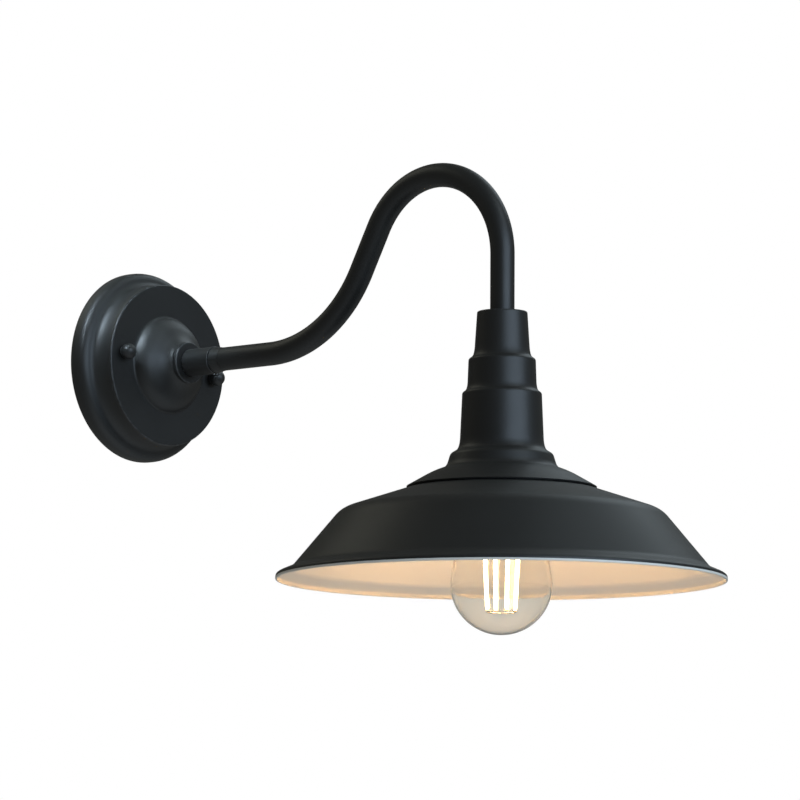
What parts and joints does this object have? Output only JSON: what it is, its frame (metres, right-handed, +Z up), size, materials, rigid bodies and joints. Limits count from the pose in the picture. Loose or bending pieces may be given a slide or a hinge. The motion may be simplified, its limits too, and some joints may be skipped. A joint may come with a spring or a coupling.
{
  "type": "outdoor wall lantern",
  "caption": "Gooseneck wall light with a round stepped wall plate, a stepped neck, a wide flared metal shade and an exposed clear bulb.",
  "frame": {"origin": "centre of the wall plate's back, on the wall", "axes": "+Z up, +Y into the wall, the light stands out to -Y, +X to the right seen from the room"},
  "size_m": [0.26, 0.428, 0.2793],
  "materials": {
    "black_paint": "satin black powder coat",
    "shade_enamel": "satin black outside, white enamel inside",
    "zinc_steel": "zinc plated",
    "brass": "machined",
    "nickel": "nickel plated, satin",
    "seal_rubber": "closed-cell foam",
    "porcelain": "white glaze",
    "block_plastic": "moulded",
    "fibre": "pressed red fibre",
    "black_glass": "black vitrite glass",
    "bulb_glass": "clear",
    "filament": "lit phosphor strip",
    "live_insulation": "brown PVC",
    "neutral_insulation": "blue PVC",
    "earth_insulation": "green and yellow PVC"
  },
  "bodies": {
    "root": {"wall_base": "black_paint", "wall_seal": "seal_rubber", "cover_plate": "black_paint", "mounting_bracket": "zinc_steel", "earth_screw": "brass", "stud_left": "zinc_steel", "stud_locknut_left": "zinc_steel", "stud_right": "zinc_steel", "stud_locknut_right": "zinc_steel", "terminal_block": "block_plastic", "live_terminal_screw": "brass", "earth_terminal_screw": "brass", "neutral_terminal_screw": "brass", "arm_tube": "black_paint", "boss_ring": "black_paint", "arm_coupling": "black_paint", "arm_ferrule": "black_paint", "cover_lock_washer": "zinc_steel", "cover_locknut": "brass", "wall_nipple": "zinc_steel", "neck": "black_paint", "neck_lock_washer": "zinc_steel", "neck_locknut": "zinc_steel", "arm_end_bush": "zinc_steel", "lamp_nipple": "zinc_steel", "shade": "shade_enamel", "shade_washer": "fibre", "lampholder_cap": "porcelain", "holder_locknut": "brass", "lampholder_body": "porcelain", "screw_shell": "brass", "live_holder_terminal": "brass", "neutral_holder_terminal": "brass", "live_lead": "live_insulation", "neutral_lead": "neutral_insulation", "earth_lead": "earth_insulation"},
    "left_nut": {"ball_nut_left": "black_paint"},
    "right_nut": {"ball_nut_right": "black_paint"},
    "ring": {"shade_ring": "porcelain"},
    "tongue": {"centre_contact": "brass"},
    "bulb_lift": {"bulb_contact": "nickel"},
    "bulb": {"bulb_cap": "nickel", "bulb_insulator": "black_glass", "bulb_glass": "bulb_glass", "bulb_stem": "bulb_glass", "filament_support": "nickel", "filament_1": "filament", "filament_2": "filament", "filament_3": "filament", "filament_4": "filament", "filament_foot_ring": "nickel"}
  },
  "joints": [
    {"name": "left_nut_turn", "type": "hinge", "parent": "root", "child": "left_nut", "pos_m": [-0.03876, -0.034, 0.00435], "axis": [0, -1, 0], "continuous": true},
    {"name": "right_nut_turn", "type": "hinge", "parent": "root", "child": "right_nut", "pos_m": [0.03876, -0.034, -0.00435], "axis": [0, -1, 0], "continuous": true},
    {"name": "ring_turn", "type": "hinge", "parent": "root", "child": "ring", "pos_m": [0, -0.298, -0.094], "axis": [0, 0, 1], "continuous": true},
    {"name": "tongue_press", "type": "slide", "parent": "root", "child": "tongue", "axis": [0, 0, 1], "range_m": [0, 0.001], "stiffness_N_per_m": 400},
    {"name": "bulb_travel", "type": "slide", "parent": "root", "child": "bulb_lift", "axis": [0, 0, -1], "range_m": [0, 0.0255]},
    {"name": "bulb_turn", "type": "hinge", "parent": "bulb_lift", "child": "bulb", "pos_m": [0, -0.298, -0.12], "axis": [0, 0, -1], "range_deg": [0, 2520]}
  ],
  "couplings": [
    {"joint": "bulb_travel", "follows": "bulb_turn", "m_per_rad": 0.00057774}
  ]
}
